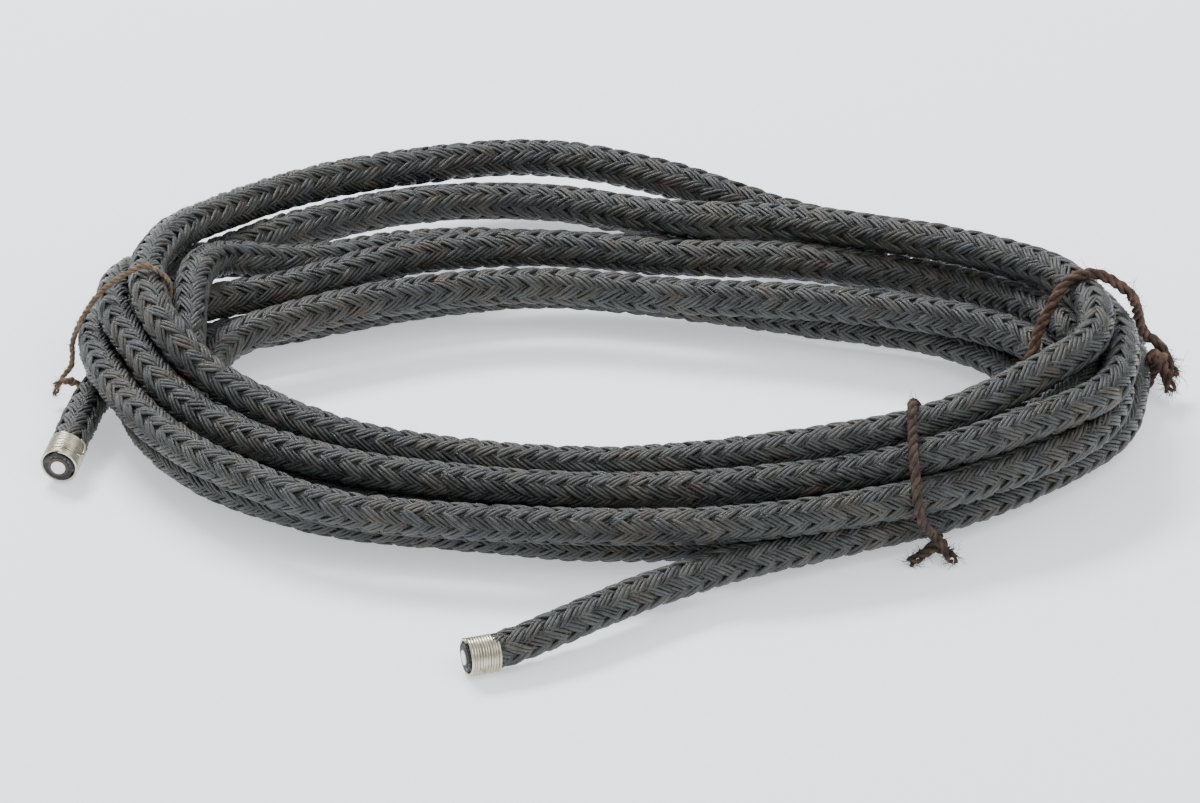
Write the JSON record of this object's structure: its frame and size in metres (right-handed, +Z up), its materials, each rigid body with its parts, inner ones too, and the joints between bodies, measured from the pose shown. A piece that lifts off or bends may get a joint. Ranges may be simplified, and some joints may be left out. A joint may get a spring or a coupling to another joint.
{
  "type": "cable shutter release",
  "caption": "Stiff braided release cable coiled into an oval, both cut ends whipped with wire and the coil held by twine ties.",
  "frame": {"origin": "under the middle of the bounding box, on the surface that the coil stands on", "axes": "+X along the coil's long side towards its right turn, +Y from the long loose end towards the back of the coil, +Z up"},
  "size_m": [0.221, 0.1886, 0.0307],
  "materials": {
    "waxed_braid": "black waxed braid with a dull sheen",
    "liner": "dark brown, matt",
    "core": "white, matt",
    "whipping_wire": "tinned wire, warm silver",
    "twine": "brown hairy twine"
  },
  "bodies": {
    "root": {"braided_jacket": "waxed_braid", "inner_liner": "liner", "inner_core": "core", "short_end_whipping": "whipping_wire", "long_end_whipping": "whipping_wire", "left_tie": "twine", "right_tie": "twine", "front_tie": "twine"}
  },
  "joints": []
}
